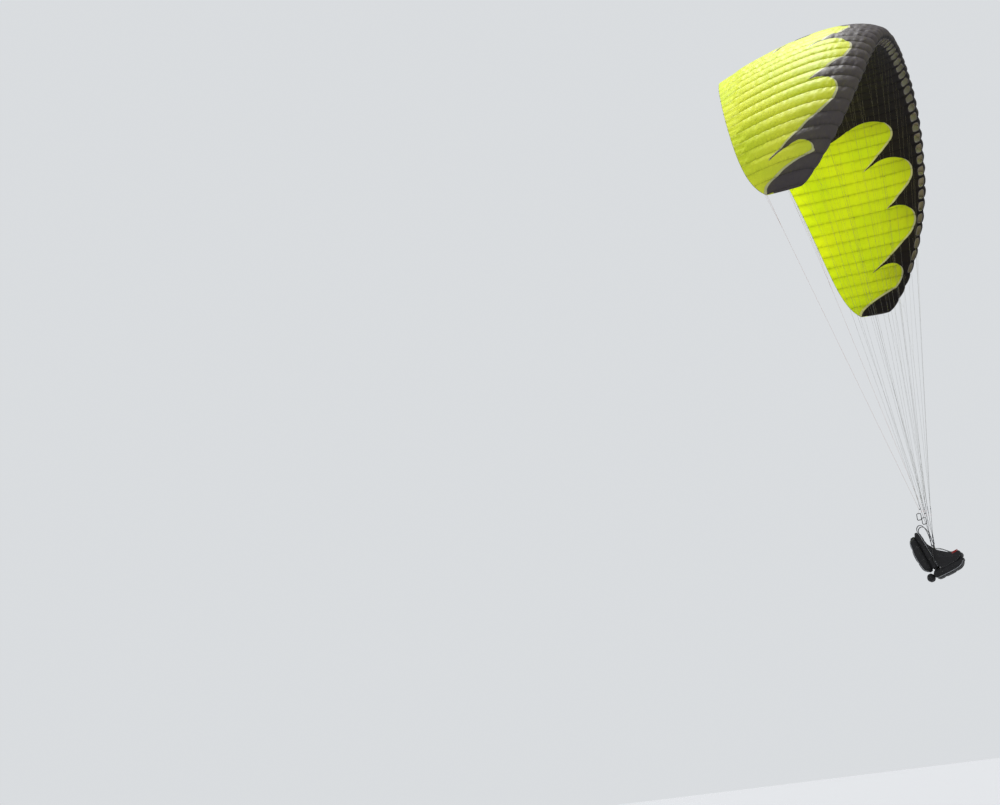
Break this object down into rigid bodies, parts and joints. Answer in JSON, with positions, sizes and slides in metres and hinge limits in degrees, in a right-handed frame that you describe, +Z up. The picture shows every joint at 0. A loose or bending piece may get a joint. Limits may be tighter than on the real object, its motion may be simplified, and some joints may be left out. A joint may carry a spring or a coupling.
{
  "type": "paraglider",
  "caption": "Ram-air foot-launched wing with line cascades, risers and a seated harness; the brakes pull down the trailing edge and the harness swings below.",
  "frame": {"origin": "on the canopy's lower surface, at mid-span, a quarter chord behind the nose", "axes": "+X forward in flight, +Y to the pilot's left, +Z up"},
  "size_m": [2.8987, 8.5492, 9.2231],
  "materials": {
    "canopy_cloth": "coated ripstop",
    "sheathed_line": "braided",
    "webbing": "woven",
    "harness_cloth": "matt",
    "steel": "polished",
    "alloy": "anodised",
    "plastic": "moulded"
  },
  "bodies": {
    "wing": {"canopy_center": "canopy_cloth", "left_canopy_inner": "canopy_cloth", "right_canopy_inner": "canopy_cloth", "left_canopy_middle": "canopy_cloth", "right_canopy_middle": "canopy_cloth", "left_canopy_outer": "canopy_cloth", "right_canopy_outer": "canopy_cloth", "left_canopy_tip": "canopy_cloth", "right_canopy_tip": "canopy_cloth", "left_a_lines": "sheathed_line", "right_a_lines": "sheathed_line", "left_b_lines": "sheathed_line", "right_b_lines": "sheathed_line", "left_c_lines": "sheathed_line", "right_c_lines": "sheathed_line", "left_brake_line": "sheathed_line", "right_brake_line": "sheathed_line", "left_riser_base": "webbing", "right_riser_base": "webbing", "left_riser_a": "webbing", "right_riser_a": "webbing", "left_riser_b": "webbing", "right_riser_b": "webbing", "left_riser_c": "webbing", "right_riser_c": "webbing", "left_a_link": "steel", "right_a_link": "steel", "left_b_link": "steel", "right_b_link": "steel", "left_c_link": "steel", "right_c_link": "steel", "left_brake_pulley": "plastic", "right_brake_pulley": "plastic"},
    "harness": {"harness_seat": "harness_cloth", "harness_protector": "harness_cloth", "harness_back": "harness_cloth", "harness_rear_pocket": "harness_cloth", "reserve_container": "harness_cloth", "reserve_handle": "webbing", "chest_strap": "webbing", "chest_buckle": "plastic", "left_harness_side": "harness_cloth", "right_harness_side": "harness_cloth", "left_shoulder_strap": "webbing", "right_shoulder_strap": "webbing", "left_leg_strap": "webbing", "right_leg_strap": "webbing", "left_main_webbing": "webbing", "right_main_webbing": "webbing", "left_carabiner": "alloy", "right_carabiner": "alloy"},
    "left_brake_panel": {"left_brake_panel": "canopy_cloth"},
    "left_brake_handle": {"left_brake_handle": "webbing"},
    "left_brake_fan": {"left_brake_fan": "sheathed_line"},
    "right_brake_panel": {"right_brake_panel": "canopy_cloth"},
    "right_brake_handle": {"right_brake_handle": "webbing"},
    "right_brake_fan": {"right_brake_fan": "sheathed_line"}
  },
  "joints": [
    {"name": "harness_swing", "type": "hinge", "parent": "wing", "child": "harness", "pos_m": [-0.2, 0, -8.015], "axis": [0, 1, 0], "range_deg": [-30, 30]},
    {"name": "left_brake_panel", "type": "hinge", "parent": "wing", "child": "left_brake_panel", "pos_m": [-1.4, 2.30435, -0.56675], "axis": [0, -0.7323, 0.681], "range_deg": [0, 45], "stiffness_Nm_per_rad": 20, "springref_deg": -20.05},
    {"name": "right_brake_panel", "type": "hinge", "parent": "wing", "child": "right_brake_panel", "pos_m": [-1.4, -2.30435, -0.56675], "axis": [0, -0.7323, -0.681], "range_deg": [0, 45], "stiffness_Nm_per_rad": 20, "springref_deg": -20.05},
    {"name": "left_brake_handle", "type": "slide", "parent": "wing", "child": "left_brake_handle", "axis": [0, 0, -1], "range_m": [0, 0.4]},
    {"name": "right_brake_handle", "type": "slide", "parent": "wing", "child": "right_brake_handle", "axis": [0, 0, -1], "range_m": [0, 0.4]},
    {"name": "left_brake_fan", "type": "slide", "parent": "wing", "child": "left_brake_fan", "axis": [0.1931, -0.6682, -0.7185], "range_m": [0, 0.4351]},
    {"name": "right_brake_fan", "type": "slide", "parent": "wing", "child": "right_brake_fan", "axis": [0.1931, 0.6682, -0.7185], "range_m": [0, 0.4351]}
  ],
  "couplings": [
    {"joint": "left_brake_handle", "follows": "left_brake_panel", "m_per_rad": 0.5092},
    {"joint": "left_brake_fan", "follows": "left_brake_panel", "m_per_rad": 0.5539},
    {"joint": "right_brake_handle", "follows": "right_brake_panel", "m_per_rad": 0.5092},
    {"joint": "right_brake_fan", "follows": "right_brake_panel", "m_per_rad": 0.5539}
  ]
}
